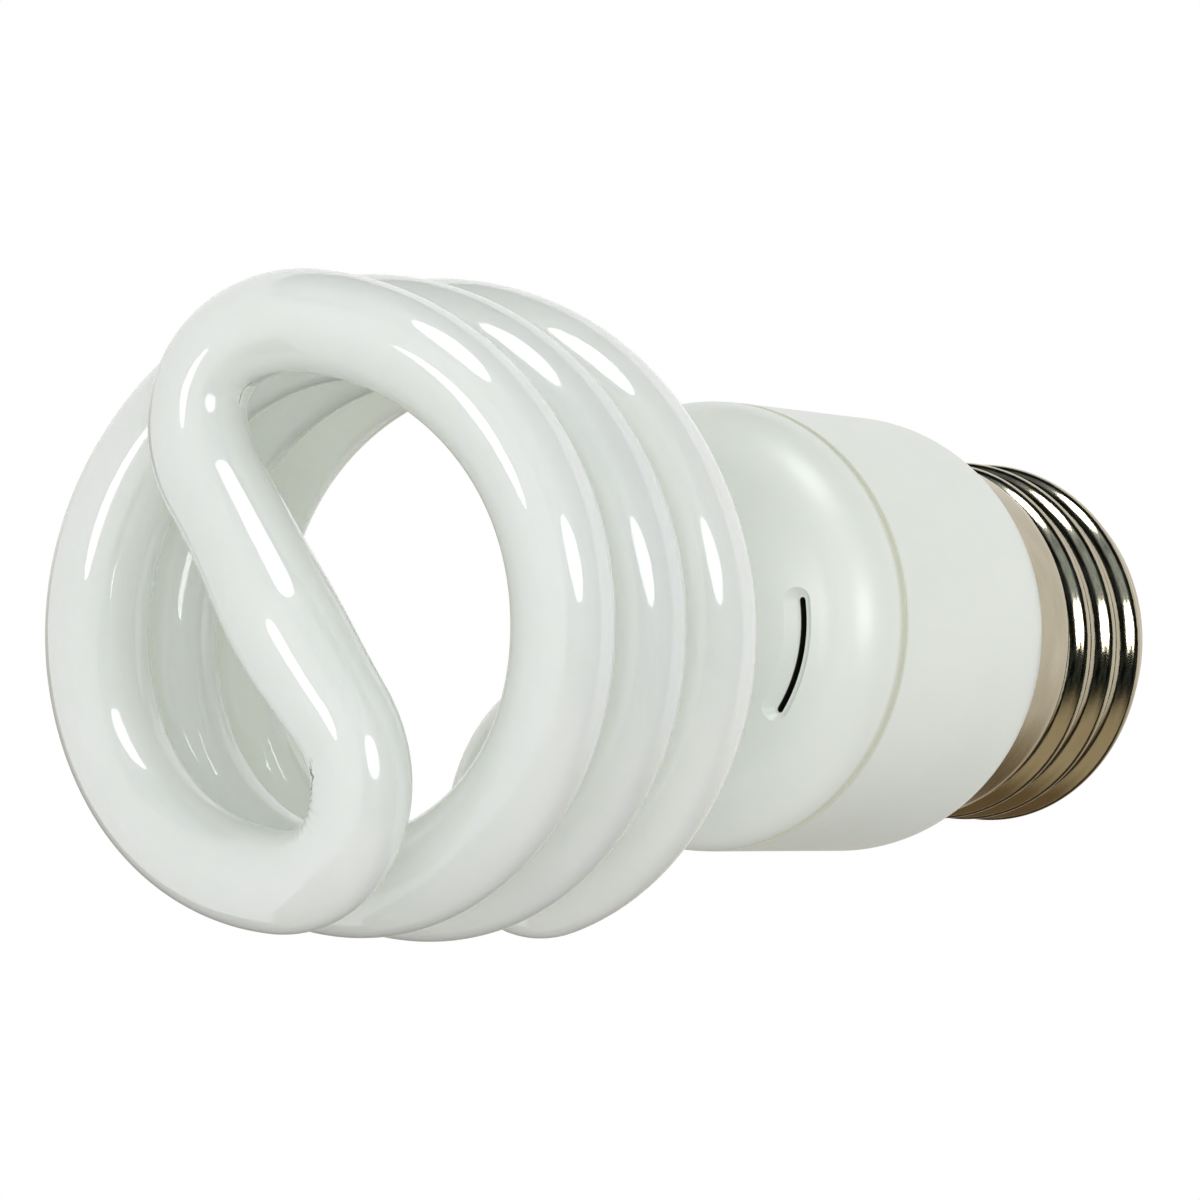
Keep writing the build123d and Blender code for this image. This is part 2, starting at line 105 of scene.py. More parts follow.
# Screw shell
PITCH = 3.629
CREST_R = 13.1
VALLEY_R = 12.254
CREST_CURVE = 0.85
VALLEY_CURVE = 1.52
LOWEST_CREST_Z = 9.17
THREAD_START = -150.0
THREAD_END = 820.0
THREAD_FADE = 40.0
SHELL_STEPS = 288
WALL_STEP = 0.09
WALL_BOTTOM = 7.45
WALL_TOP = 18.4


def polar(radius, angle, z=0.0):
    a = math.radians(angle)
    return Vector((radius * math.cos(a), radius * math.sin(a), z))


def srgb(r, g, b):
    """A colour as it is seen, 0 to 255, as the linear values a shader takes."""
    return tuple(((c / 255 + 0.055) / 1.055) ** 2.4 if c > 10 else c / 255 / 12.92 for c in (r, g, b)) + (1.0,)


# Camera

def make_camera():
    axis = Vector((
        -math.sin(LAMP_TILT) * math.cos(LAMP_SWING),
        -math.sin(LAMP_TILT) * math.sin(LAMP_SWING),
        -math.cos(LAMP_TILT),
    ))
    across = axis.cross(Vector((0, 1, 0))).normalized()
    turn = Matrix((across, axis.cross(across), axis))
    place = VIEW_PIVOT - turn @ LAMP_IN_VIEW
    data = bpy.data.cameras.new("camera")
    data.sensor_width = SENSOR_MM
    data.lens = FOCAL_PX / FRAME_PX * SENSOR_MM
    data.clip_start, data.clip_end = 0.01, 50.0
    camera = bpy.data.objects.new("camera", data)
    bpy.context.scene.collection.objects.link(camera)
    right, up, back = turn.col[0], -turn.col[1], -turn.col[2]
    pose = Matrix((right, up, back)).transposed().to_4x4()
    pose.translation = place * MM
    camera.matrix_world = pose
    bpy.context.scene.camera = camera


# Materials

class Nodes:
    """A material's node tree, built up by short calls."""

    def __init__(self, name):
        self.material = bpy.data.materials.new(name)
        self.material.use_nodes = True
        self.tree = self.material.node_tree
        self.shader = self.tree.nodes["Principled BSDF"]
        self.place = self.add("ShaderNodeTexCoord").outputs["Object"]

    def add(self, kind, **values):
        node = self.tree.nodes.new(kind)
        for key, value in values.items():
            setattr(node, key, value)
        return node

    def link(self, source, target):
        self.tree.links.new(source, target)

    def set(self, **values):
        for key, value in values.items():
            self.shader.inputs[key.replace("_", " ")].default_value = value

    def noise(self, per_mm, detail=3.0, roughness=0.5, stretch=None, seed=0.0):
        place = self.place
        if stretch is not None:
            mapping = self.add("ShaderNodeMapping")
            mapping.inputs["Scale"].default_value = stretch
            self.link(place, mapping.inputs["Vector"])
            place = mapping.outputs["Vector"]
        node = self.add("ShaderNodeTexNoise", noise_dimensions="4D")
        node.inputs["Scale"].default_value = per_mm / MM
        node.inputs["Detail"].default_value = detail
        node.inputs["Roughness"].default_value = roughness
        node.inputs["W"].default_value = seed
        self.link(place, node.inputs["Vector"])
        return node.outputs["Fac"]

    def ramp(self, value, *stops):
        """A colour or a grey that runs through the stops, each a place from 0 to 1 and a colour or a level."""
        node = self.add("ShaderNodeValToRGB")
        points = node.color_ramp.elements
        while len(points) < len(stops):
            points.new(0.5)
        for point, (position, colour) in zip(points, stops):
            point.position = position
            point.color = colour if hasattr(colour, "__len__") else (colour, colour, colour, 1.0)
        self.link(value, node.inputs["Fac"])
        return node.outputs["Color"]

    def math(self, operation, a, b=None, clamp=False):
        node = self.add("ShaderNodeMath", operation=operation, use_clamp=clamp)
        for slot, value in zip(node.inputs, (a, b)):
            if isinstance(value, (int, float)):
                slot.default_value = value
            elif value is not None:
                self.link(value, slot)
        return node.outputs["Value"]

    def mix(self, factor, a, b, blend="MIX"):
        node = self.add("ShaderNodeMix", data_type="RGBA", blend_type=blend)
        for slot, value in zip((node.inputs[0], node.inputs[6], node.inputs[7]), (factor, a, b)):
            if isinstance(value, (int, float, tuple)):
                slot.default_value = value
            else:
                self.link(value, slot)
        return node.outputs[2]

    def spots(self, per_mm, size, seed=0.0):
        """1 inside small scattered round spots, 0 elsewhere."""
        node = self.add("ShaderNodeTexVoronoi", voronoi_dimensions="4D", feature="F1")
        node.inputs["Scale"].default_value = per_mm / MM
        node.inputs["W"].default_value = seed
        self.link(self.place, node.inputs["Vector"])
        return self.ramp(node.outputs["Distance"], (size * 0.6, 1.0), (size, 0.0))

    def height(self):
        split = self.add("ShaderNodeSeparateXYZ")
        self.link(self.place, split.inputs["Vector"])
        return split.outputs["Z"]

    def band(self, z0, z1, soft=0.05):
        """1 between two heights in millimetres, with soft ends."""
        z = self.height()
        low = self.add("ShaderNodeMapRange", interpolation_type="SMOOTHSTEP")
        high = self.add("ShaderNodeMapRange", interpolation_type="SMOOTHSTEP")
        for node, edge, ends in ((low, z0, (0.0, 1.0)), (high, z1, (1.0, 0.0))):
            node.inputs["From Min"].default_value = (edge - soft) * MM
            node.inputs["From Max"].default_value = (edge + soft) * MM
            node.inputs["To Min"].default_value, node.inputs["To Max"].default_value = ends
            self.link(z, node.inputs["Value"])
        return self.math("MULTIPLY", low.outputs["Result"], high.outputs["Result"])

    def ring(self, r0, r1, soft=0.05):
        """1 between two radii round the lamp's axis, in millimetres."""
        split = self.add("ShaderNodeSeparateXYZ")
        self.link(self.place, split.inputs["Vector"])
        x, y = split.outputs["X"], split.outputs["Y"]
        radius = self.math("SQRT", self.math("ADD", self.math("MULTIPLY", x, x), self.math("MULTIPLY", y, y)))
        inner = self.smooth(radius, (r0 - soft) * MM, (r0 + soft) * MM)
        outer = self.smooth(radius, (r1 - soft) * MM, (r1 + soft) * MM, (1.0, 0.0))
        return self.math("MULTIPLY", inner, outer)

    def attribute(self, name):
        return self.add("ShaderNodeAttribute", attribute_name=name).outputs["Fac"]

    def smooth(self, value, low, high, ends=(0.0, 1.0)):
        node = self.add("ShaderNodeMapRange", interpolation_type="SMOOTHSTEP")
        for key, number in zip(("From Min", "From Max", "To Min", "To Max"), (low, high) + ends):
            node.inputs[key].default_value = number
        self.link(value, node.inputs["Value"])
        return node.outputs["Result"]

    def fold(self):
        """1 on the fine creases inside the tip's two bends, where shade is painted, from the tube mesh's own
        distances.
        """
        noise = self.noise(0.7, 3, 0.7, seed=11.0)
        wander = self.math("MULTIPLY", self.math("SUBTRACT", noise, 0.5), CREASE_SHADE_WANDER)
        across = self.math("ABSOLUTE", self.math("ADD", self.attribute("fold_across"), wander))
        line = self.smooth(across, *CREASE_SHADE_WIDTH, (1.0, 0.0))
        reach = self.smooth(self.attribute("fold_along"), *CREASE_SHADE_END, (1.0, 0.0))
        gaps = self.smooth(self.noise(1.3, 2, 0.5, seed=12.0), 0.36, 0.48)
        return self.math("MULTIPLY", self.math("MULTIPLY", line, reach), gaps)

    def colour(self, source):
        self.link(source, self.shader.inputs["Base Color"])

    def rough(self, source, low, high):
        node = self.add("ShaderNodeMapRange")
        node.inputs["To Min"].default_value = low
        node.inputs["To Max"].default_value = high
        self.link(source, node.inputs["Value"])
        self.link(node.outputs["Result"], self.shader.inputs["Roughness"])

    def bump(self, source, depth_mm, coat=False):
        node = self.add("ShaderNodeBump")
        node.inputs["Distance"].default_value = depth_mm * MM
        self.link(source, node.inputs["Height"])
        self.link(node.outputs["Normal"], self.shader.inputs["Normal"])
        if coat:
            self.link(node.outputs["Normal"], self.shader.inputs["Coat Normal"])


# Heights, radii and soft edges in millimetres of the places where shade is painted: the seam, the vent slots
# and the creases in the tip
SEAM_SHADE = (46.45, 47.6, 0.22)
SLOT_SHADE_HEIGHTS = (49.8, 51.88, 0.06)
SLOT_SHADE_RADII = (10.2, 11.2)
CREASE_SHADE_WANDER = 1.6
CREASE_SHADE_WIDTH = (0.05, 0.17)
CREASE_SHADE_END = (2.2, 3.4)


def glass_material():
    # White powder behind clear glass: a soft white ground under a sharp clear gloss.
    m = Nodes("phosphor_glass")
    m.set(Roughness=0.5, IOR=1.45, Coat_Weight=1.0, Coat_Roughness=0.02, Coat_IOR=1.6)
    m.set(Subsurface_Weight=1.0, Subsurface_Scale=22.0 * MM, Subsurface_Radius=(1.0, 0.97, 0.75))
    cloud = m.noise(0.09, 3, 0.55)
    ground = m.ramp(cloud, (0.3, srgb(220, 228, 220)), (0.7, srgb(228, 235, 227)))
    specks = m.math("MULTIPLY", m.spots(0.16, 0.036, 2.0), 0.65)
    ground = m.mix(specks, ground, srgb(120, 124, 112))
    # Painted shade along the creases inside the tip's two bends
    ground = m.mix(m.fold(), ground, srgb(96, 98, 84))
    m.colour(ground)
    m.bump(m.noise(0.12, 2, 0.4, seed=5.0), 0.05, coat=True)
    return m.material


def plastic_material():
    m = Nodes("housing_plastic")
    m.set(Roughness=0.38, IOR=1.5, Subsurface_Weight=0.1, Subsurface_Scale=0.8 * MM)
    m.set(Coat_Weight=0.25, Coat_Roughness=0.22)
    cloud = m.noise(0.07, 3, 0.6, seed=1.0)
    ground = m.ramp(cloud, (0.3, srgb(229, 235, 228)), (0.7, srgb(236, 240, 234)))
    # Painted shade in the seam's groove between the upper and lower housings
    seam_shade = m.band(*SEAM_SHADE)
    ground = m.mix(m.math("MULTIPLY", seam_shade, 0.75), ground, srgb(217, 218, 202))
    # Painted shade on the vent slots' inner walls, nearly black
    slot = m.math("MULTIPLY", m.band(*SLOT_SHADE_HEIGHTS), m.ring(*SLOT_SHADE_RADII))
    ground = m.mix(slot, ground, srgb(34, 36, 24))
    specks = m.math("MULTIPLY", m.spots(0.35, 0.05, 7.0), 0.25)
    ground = m.mix(specks, ground, srgb(160, 165, 158))
    m.colour(ground)
    m.rough(m.noise(1.2, 4, 0.6, seed=3.0), 0.33, 0.47)
    m.bump(m.noise(2.2, 4, 0.65, seed=4.0), 0.006)
    return m.material


def nickel_material():
    m = Nodes("nickel_plate")
    m.set(Metallic=1.0)
    cloud = m.noise(0.25, 4, 0.6, stretch=(1, 1, 2.5))
    ground = m.ramp(cloud, (0.25, srgb(173, 163, 140)), (0.75, srgb(188, 179, 157)))
    m.colour(ground)
    lines = m.noise(0.5, 3, 0.6, stretch=(1, 1, 9))
    m.rough(lines, 0.05, 0.17)
    m.bump(m.noise(0.9, 4, 0.6, stretch=(1, 1, 4), seed=8.0), 0.012)
    return m.material


# Finishes of the plainer pieces: darker and lighter colour, roughness from and to, the grain's frequency per
# millimetre, the depth of its bump in millimetres, and other shader values.
FINISHES = {
    "black_glass": ((14, 13, 16), (30, 28, 34), (0.06, 0.16), 0.3, 0.01, {"Coat_Weight": 0.6}),
    "brass": ((196, 164, 98), (226, 198, 132), (0.16, 0.34), 0.6, 0.012, {"Metallic": 1.0}),
    "solder": ((150, 150, 148), (196, 196, 192), (0.25, 0.5), 0.9, 0.04, {"Metallic": 1.0}),
    "board_laminate": ((176, 146, 98), (198, 168, 118), (0.45, 0.65), 1.2, 0.01, {}),
    "white_cement": ((214, 214, 206), (238, 238, 232), (0.75, 0.95), 1.5, 0.05, {}),
    "lead_wire": ((176, 176, 172), (208, 208, 204), (0.2, 0.4), 1.5, 0.006, {"Metallic": 1.0}),
    "capacitor_sleeve": ((28, 34, 66), (36, 44, 82), (0.2, 0.32), 0.5, 0.01, {}),
    "ferrite": ((40, 40, 42), (64, 64, 66), (0.55, 0.75), 1.5, 0.02, {}),
    "bobbin_plastic": ((34, 34, 36), (48, 48, 50), (0.35, 0.5), 1.0, 0.01, {}),
    "copper_wire": ((168, 84, 44), (206, 120, 70), (0.2, 0.38), 1.5, 0.03, {"Metallic": 1.0}),
    "film_capacitor_resin": ((138, 38, 26), (166, 52, 36), (0.18, 0.3), 0.5, 0.03, {}),
    "black_epoxy": ((24, 24, 26), (40, 40, 42), (0.45, 0.6), 1.4, 0.012, {}),
    "green_lacquer": ((44, 98, 62), (60, 124, 82), (0.2, 0.34), 0.6, 0.015, {}),
    "tan_lacquer": ((196, 164, 116), (218, 188, 142), (0.25, 0.4), 0.8, 0.01, {}),
    "blue_lacquer": ((44, 82, 150), (60, 104, 178), (0.2, 0.34), 0.8, 0.01, {}),
    "wire_insulation": ((214, 214, 208), (232, 232, 228), (0.35, 0.5), 1.0, 0.01, {}),
}


def plain_material(name, low, high, rough, grain, depth, values):
    m = Nodes(name)
    m.set(**values)
    m.colour(m.ramp(m.noise(grain, 4, 0.6), (0.3, srgb(*low)), (0.7, srgb(*high))))
    m.rough(m.noise(grain * 2, 3, 0.6, seed=2.0), *rough)
    m.bump(m.noise(grain * 3, 4, 0.6, seed=6.0), depth)
    return m.material


def make_materials():
    made = {
        "phosphor_glass": glass_material(),
        "housing_plastic": plastic_material(),
        "nickel_plate": nickel_material(),
    }
    for name, finish in FINISHES.items():
        made[name] = plain_material(name, *finish)
    return made


# Shapes

def mesh_object(name, points, faces, material):
    data = bpy.data.meshes.new(name)
    data.from_pydata([tuple(p) for p in np.asarray(points) * MM], [], faces)
    data.validate()
    bm = bmesh.new()
    bm.from_mesh(data)
    bmesh.ops.recalc_face_normals(bm, faces=bm.faces)
    bm.to_mesh(data)
    bm.free()
    data.materials.append(material)
    data.polygons.foreach_set("use_smooth", [True] * len(data.polygons))
    piece = bpy.data.objects.new(name, data)
    bpy.context.scene.collection.objects.link(piece)
    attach(piece, "root")
    return piece


def arc_run(start, heading, goal, radius):
    """An arc that leaves start along heading and ends pointing along goal."""
    angle = math.acos(max(-1.0, min(1.0, heading.dot(goal))))
    inward = (goal - heading * math.cos(angle)) / math.sin(angle)
    length = angle * radius

    def at(s):
        t = s / radius
        return start + (heading * math.sin(t) + inward * (1 - math.cos(t))) * radius

    return length, at


def line_run(start, end):
    length = (end - start).length
    return length, lambda s: start + (end - start) * (s / length)


def spiral_point(turns):
    slant = COIL_PITCH * turns
    radius = COIL_R + slant * math.sin(COIL_FLARE)
    return polar(radius, COIL_TOP_ANGLE - 360 * turns, COIL_TOP_Z - slant * math.cos(COIL_FLARE))


def spiral_heading(turns, step=1e-5):
    return (spiral_point(turns + step) - spiral_point(turns - step)).normalized()


def half_runs():
    """The runs of one half of the tube, from the foot of a leg up to the middle of the bridge."""
    upper, lower = spiral_point(0), spiral_point(COIL_TURNS)
    up_heading, down_heading = -spiral_heading(0), spiral_heading(COIL_TURNS)
    bridge_angle = COIL_TOP_ANGLE + BRIDGE_LEAD
    across = polar(-1, bridge_angle)
    side = polar(1, bridge_angle + 90)
    turn = math.acos(up_heading.dot(across))
    inward = (across - up_heading * math.cos(turn)) / math.sin(turn)
    reach = up_heading * math.sin(turn) + inward * (1 - math.cos(turn))
    bend = arc_run(upper, up_heading, across, -upper.dot(side) / reach.dot(side))
    bridge_start = bend[1](bend[0])
    bridge = line_run(bridge_start, Vector((0, 0, bridge_start.z)))

    lower_angle = math.degrees(math.atan2(lower.y, lower.x))
    dip = math.radians(CURL_DIP)
    inward_heading = polar(-math.cos(dip), lower_angle + 90 - CURL_HEADING, -math.sin(dip))
    curl = arc_run(lower, down_heading, inward_heading, CURL_R)
    curl_end = curl[1](curl[0])
    drop = arc_run(curl_end, inward_heading, Vector((0, 0, -1)), DROP_R)
    leg_top = drop[1](drop[0])
    leg = line_run(leg_top, Vector((leg_top.x, leg_top.y, LEG_END_Z)))

    spiral_length = COIL_TURNS * math.hypot(2 * math.pi * COIL_R, COIL_PITCH)
    spiral = (spiral_length, lambda s: spiral_point(s / spiral_length * COIL_TURNS))
    down = [spiral, curl, drop, leg]
    up = [bend, bridge]
    return up, down


def sampled(runs, step):
    points = []
    for length, at in runs:
        count = max(2, round(length / step))
        points += [at(length * k / count) for k in range(count)]
    length, at = runs[-1]
    return points + [at(length)]


def tube_line():
    """The tube's middle line, and each point's distance along it from the middle of the bridge."""
    up, down = half_runs()
    half = list(reversed(sampled(down, TUBE_STEP))) + sampled(up, TIP_STEP)[1:]
    turn = Matrix.Rotation(math.pi, 3, "Z")
    other = [turn @ p for p in reversed(half[:-1])]
    line = np.array(half + other)
    steps = np.linalg.norm(np.diff(line, axis=0), axis=1)
    along = np.concatenate([[0.0], np.cumsum(steps)])
    return line, along - along[len(half) - 1]


def directions(line):
    heading = np.gradient(line, axis=0)
    return heading / np.linalg.norm(heading, axis=1)[:, None]


def hump(value, length):
    return np.exp(-((value / length) ** 2))


def bent_line(line, along):
    """The middle line with the bridge bowed up and each bend moved out a little, and its inward directions."""
    reach = np.abs(along - TIP_MIDDLE)
    heading = directions(line)
    inward = np.gradient(heading, axis=0)
    inward /= np.maximum(np.linalg.norm(inward, axis=1), 1e-9)[:, None]
    middles = [np.argmin(np.abs(along - side * BEND_MIDDLE)) for side in (-1, 1)]
    line = line.copy()
    bow = np.where(reach < ARCH_HALF, np.cos(math.pi * reach / ARCH_HALF), 0.0)
    tail = (reach >= ARCH_HALF) & (reach < ARCH_END)
    bow[tail] = -0.5 * (1 + np.cos(math.pi * (reach[tail] - ARCH_HALF) / (ARCH_END - ARCH_HALF)))
    line[:, 2] += ARCH * bow
    for middle, shift in zip(middles, BEND_SHIFT):
        away = hump(along - along[middle], BEND_SHIFT_LENGTH)
        line -= shift * away[:, None] * inward[middle]
    return line, [inward[middle] for middle in middles]


def tube_radii(along, around, inner_sides):
    """The radius at each point of each ring, the ring's directions being unit vectors."""
    radii = TUBE_R + SWELL * hump(along - TIP_MIDDLE, SWELL_LENGTH)[:, None] * np.ones(around.shape[:2])
    weld = np.clip(around @ np.array(BUMP_SIDE), 0.0, 1.0) ** 3
    radii += BUMP * hump(along - TIP_MIDDLE, BUMP_LENGTH)[:, None] * weld
    for side, inward, fold_middle, ripple, rise in zip((-1, 1), inner_sides, FOLD_MIDDLES, RIPPLE, RIPPLE_RISE):
        off = along - side * BEND_MIDDLE
        near = np.clip(around @ inward, 0.0, 1.0)
        radii -= PINCH * hump(off, PINCH_LENGTH)[:, None] * near**2
        off = along - side * fold_middle
        fold = np.sin(2 * math.pi * off / RIPPLE_SPACING) * hump(off, RIPPLE_LENGTH)
        toward = inward + rise * np.array((0.0, 0.0, 1.0))
        facing = np.clip(around @ (toward / np.linalg.norm(toward)), 0.0, 1.0)
        radii += ripple * fold[:, None] * facing**8
    return radii


def fold_distances(data, line, along, heading, inner_sides):
    """Writes each point's distance across and along from the crease inside the nearer bend, in millimetres."""
    places = np.empty(len(data.vertices) * 3)
    data.vertices.foreach_get("co", places)
    places = places.reshape(-1, 3) / MM
    rings = np.repeat(np.arange(len(line)), TUBE_SIDES)
    across, reach = np.full(len(places), FAR_AWAY), np.full(len(places), FAR_AWAY)
    folds = zip((-1, 1), inner_sides, FOLD_MIDDLES, FOLD_TURNS, FOLD_SLANTS, FOLD_SIZES)
    for end, inward, middle, turned, slant, size in folds:
        off = along - end * middle
        near = np.abs(off)[rings] < FOLD_REACH
        out = places - line[rings]
        upward = np.cross(heading[rings], inward)
        upward *= np.sign(upward[:, 2:]) / np.linalg.norm(upward, axis=1)[:, None]
        turn = np.arctan2((out * upward).sum(1), out @ inward)
        across = np.where(near, (turn * TUBE_R - turned - slant * end * off[rings]) / size, across)
        reach = np.where(near, np.abs(off)[rings] / size, reach)
    for name, values in (("fold_across", across), ("fold_along", reach)):
        data.attributes.new(name, "FLOAT", "POINT").data.foreach_set("value", values.astype(np.float32))


def make_tube(material):
    line, along = tube_line()
    line, inner_sides = bent_line(line, along)
    heading = directions(line)
    side = np.cross(heading[0], (1.0, 0.0, 0.0))
    side /= np.linalg.norm(side)
    angles = np.linspace(0, 2 * math.pi, TUBE_SIDES, endpoint=False)
    around = []
    for ahead in heading:
        side = side - ahead * side.dot(ahead)
        side /= np.linalg.norm(side)
        other = np.cross(ahead, side)
        around.append(np.cos(angles)[:, None] * side + np.sin(angles)[:, None] * other)
    around = np.array(around)
    radii = tube_radii(along, around, inner_sides)
    wave = np.sin(along * WAVE_ALONG[0])[:, None] * np.sin(WAVE_AROUND[0] * angles + WAVE_SHIFTS[0])
    wave += np.sin(along * WAVE_ALONG[1] + WAVE_SHIFTS[1])[:, None] * np.cos(WAVE_AROUND[1] * angles)
    fade = (np.abs(along[0]) - np.abs(along)) / WAVE_FADE[0] - WAVE_FADE[1]
    radii += WAVE * wave * np.clip(fade, 0, 1)[:, None]
    points = (line[:, None, :] + radii[:, :, None] * around).reshape(-1, 3)
    count = len(line)
    faces = []
    for k in range(count - 1):
        for j in range(TUBE_SIDES):
            a, b = k * TUBE_SIDES + j, k * TUBE_SIDES + (j + 1) % TUBE_SIDES
            faces.append((a, b, b + TUBE_SIDES, a + TUBE_SIDES))
    faces.append(tuple(range(TUBE_SIDES)))
    faces.append(tuple(range((count - 1) * TUBE_SIDES, count * TUBE_SIDES)))
    piece = mesh_object("coiled_tube", points, faces, material)
    fold_distances(piece.data, line, along, heading, inner_sides)
    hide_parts("discharge_tube")


def smooth_step(value, low, high):
    t = min(1.0, max(0.0, (value - low) / (high - low)))
    return t * t * (3 - 2 * t)


def thread_height(angle, z):
    """How far the rolled thread stands out of its valleys: a crest arc and a wider valley arc."""
    turns = round((z - LOWEST_CREST_Z) / PITCH - angle / 360)
    winding = angle + 360 * turns
    off = abs(z - LOWEST_CREST_Z - PITCH * winding / 360)
    join = PITCH / 2 * CREST_CURVE / (CREST_CURVE + VALLEY_CURVE)
    if off <= join:
        stand = CREST_R - VALLEY_R - CREST_CURVE + math.sqrt(CREST_CURVE**2 - off**2)
    else:
        stand = VALLEY_CURVE - math.sqrt(max(0.0, VALLEY_CURVE**2 - (PITCH / 2 - off) ** 2))
    fade = smooth_step(winding, THREAD_START - THREAD_FADE, THREAD_START + THREAD_FADE)
    fade *= 1 - smooth_step(winding, THREAD_END - THREAD_FADE, THREAD_END + THREAD_FADE)
    return stand * fade


def make_shell(material):
    # Radius and height, from the lip up the outside to the collar's rim, over the rim and back down inside.
    lip = [(9.5, 4.4), (9.8, 4.42), (9.95, 4.5), (10.4, 5.0), (11.2, 5.95), (11.9, 6.8), (12.2, 7.2)]
    wall = [(VALLEY_R, z) for z in np.arange(WALL_BOTTOM, WALL_TOP, WALL_STEP)]
    collar = [(12.42, 18.52), (12.6, 18.7), (12.86, 18.98), (13.02, 19.2), (13.1, 19.5), (13.1, 20.0)]
    collar += [(13.1, z) for z in (20.6, 21.8, 22.8, 23.5, 23.8)]
    rim = [(13.06, 23.93), (12.98, 23.98), (12.7, 23.99), (12.2, 23.99)]
    inside = [(12.1, 23.9), (12.1, 18.3), (11.4, 18.1), (11.4, 8.1), (9.5, 6.5), (9.4, 5.0)]
    profile = lip + wall + collar + rim + inside
    points = []
    for k in range(SHELL_STEPS):
        angle = 360 * k / SHELL_STEPS
        for index, (radius, z) in enumerate(profile):
            if len(lip) <= index < len(lip) + len(wall):
                radius += thread_height(angle, z)
            p = polar(radius, angle, z)
            points.append((p.x, p.y, p.z))
    n = len(profile)
    faces = []
    for k in range(SHELL_STEPS):
        following = (k + 1) % SHELL_STEPS
        for j in range(n):
            i = (j + 1) % n
            faces.append((k * n + j, following * n + j, following * n + i, k * n + i))
    piece = mesh_object("threaded_shell", points, faces, material)
    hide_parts("screw_shell")


# Stage: floor, studio lights and what the metal mirrors

# Each lamp's direction, width and height in metres, power in plain light, and power in gloss.
LIGHTS = {
    "light_tip": ((-0.05, 0.10, 0.99), (0.40, 0.38), 0.4, 2.1),
    "light_front": ((0.50, -0.04, 0.86), (0.50, 0.50), 2.0, 0.0),
    "light_top": ((0.30, 0.89, 0.34), (0.54, 0.72), 1.2, 4.4),
    "light_right": ((0.93, 0.10, 0.35), (0.52, 0.62), 1.0, 3.7),
}
LIGHT_DISTANCE = 1.15
FACE_DISTANCE = 1.10
FACE_SIZE = 0.88
LIGHT_AIM = Vector((0, 0, 0.085))
WORLD_STRENGTH = 0.715
FLOOR_Z = -0.4
FLOOR_HALF = 6.0
PAPER = ((0.3, (0.78, 0.78, 0.78, 1.0)), (0.7, (0.82, 0.82, 0.82, 1.0)))

# The dark room that the thread's flanks mirror, in metres and degrees round the lamp
ROOM_RADIUS = 1.5
ROOM_INNER = 0.62
ROOM_TOP = 1.7
ROOM_RISE = 0.02
ROOM_TURNS = range(-124, 121, 4)
PALE_HEIGHTS = (0.0, 0.6)
PALE_SIDE = (-0.2, 0.3)
TABLE_SIDE = (-1.1, -0.6)
SHADE_SIDE = (-1.2, -0.9)
SHADE_WIDTH = (-0.1, 0.6)
FALLING = (1.0, 0.0)

# The brown table beside the white sheet, its own brown darkening across into painted shade
TABLE_HALF = 1.8
TABLE_EDGE = 0.6
TABLE_RISE = 0.015
TABLE_ACROSS = (-0.3, -0.95)
TABLE_SHIFT = 0.5
TABLE_SHADES = (
    (0.46, (1.0, 1.0, 1.0, 1.0)),
    (0.62, (0.78, 0.75, 0.70, 1.0)),
    (0.70, (0.42, 0.36, 0.27, 1.0)),
    (0.75, (0.19, 0.14, 0.09, 1.0)),
    (0.82, (0.07, 0.05, 0.035, 1.0)),
)


def aimed(direction, distance):
    direction = Vector(direction).normalized()
    place = LIGHT_AIM + direction * distance
    turn = direction.to_track_quat("Z", "Y").to_matrix().to_4x4()
    return Matrix.Translation(place) @ turn


def make_lights():
    """Each lamp is a soft one, and a brighter face that shows only in gloss."""
    for name, (direction, size, power, gleam) in LIGHTS.items():
        lamps = ("", power, LIGHT_DISTANCE, 1.0), ("_face", gleam, FACE_DISTANCE, FACE_SIZE)
        for suffix, energy, distance, scale in lamps:
            if not energy:
                continue
            data = bpy.data.lights.new(name + suffix, "AREA")
            data.shape = "ELLIPSE"
            data.size, data.size_y = size[0] * scale, size[1] * scale
            data.energy = energy
            light = bpy.data.objects.new(name + suffix, data)
            light.matrix_world = aimed(direction, distance)
            light.visible_diffuse = not suffix
            light.visible_glossy = bool(suffix)
            bpy.context.scene.collection.objects.link(light)


def white_for_view(tree, dim, output_kind, strength):
    """Mixes a shader with plain white for camera, glossy and transmission rays."""
    path = tree.nodes.new("ShaderNodeLightPath")
    seen = tree.nodes.new("ShaderNodeMath")
    seen.operation = "MAXIMUM"
    tree.links.new(path.outputs["Is Camera Ray"], seen.inputs[0])
    tree.links.new(path.outputs["Is Glossy Ray"], seen.inputs[1])
    also = tree.nodes.new("ShaderNodeMath")
    also.operation = "MAXIMUM"
    tree.links.new(seen.outputs[0], also.inputs[0])
    tree.links.new(path.outputs["Is Transmission Ray"], also.inputs[1])
    white = tree.nodes.new(output_kind)
    white.inputs["Color"].default_value = (1, 1, 1, 1)
    white.inputs["Strength"].default_value = strength
    mix = tree.nodes.new("ShaderNodeMixShader")
    tree.links.new(also.outputs[0], mix.inputs["Fac"])
    tree.links.new(dim, mix.inputs[1])
    tree.links.new(white.outputs[0], mix.inputs[2])
    return mix.outputs[0]


def make_world():
    world = bpy.data.worlds.new("studio")
    bpy.context.scene.world = world
    world.use_nodes = True
    tree = world.node_tree
    dim = tree.nodes["Background"]
    dim.inputs["Color"].default_value = srgb(255, 255, 253)
    dim.inputs["Strength"].default_value = WORLD_STRENGTH
    result = white_for_view(tree, dim.outputs[0], "ShaderNodeBackground", 1.0)
    tree.links.new(result, tree.nodes["World Output"].inputs["Surface"])


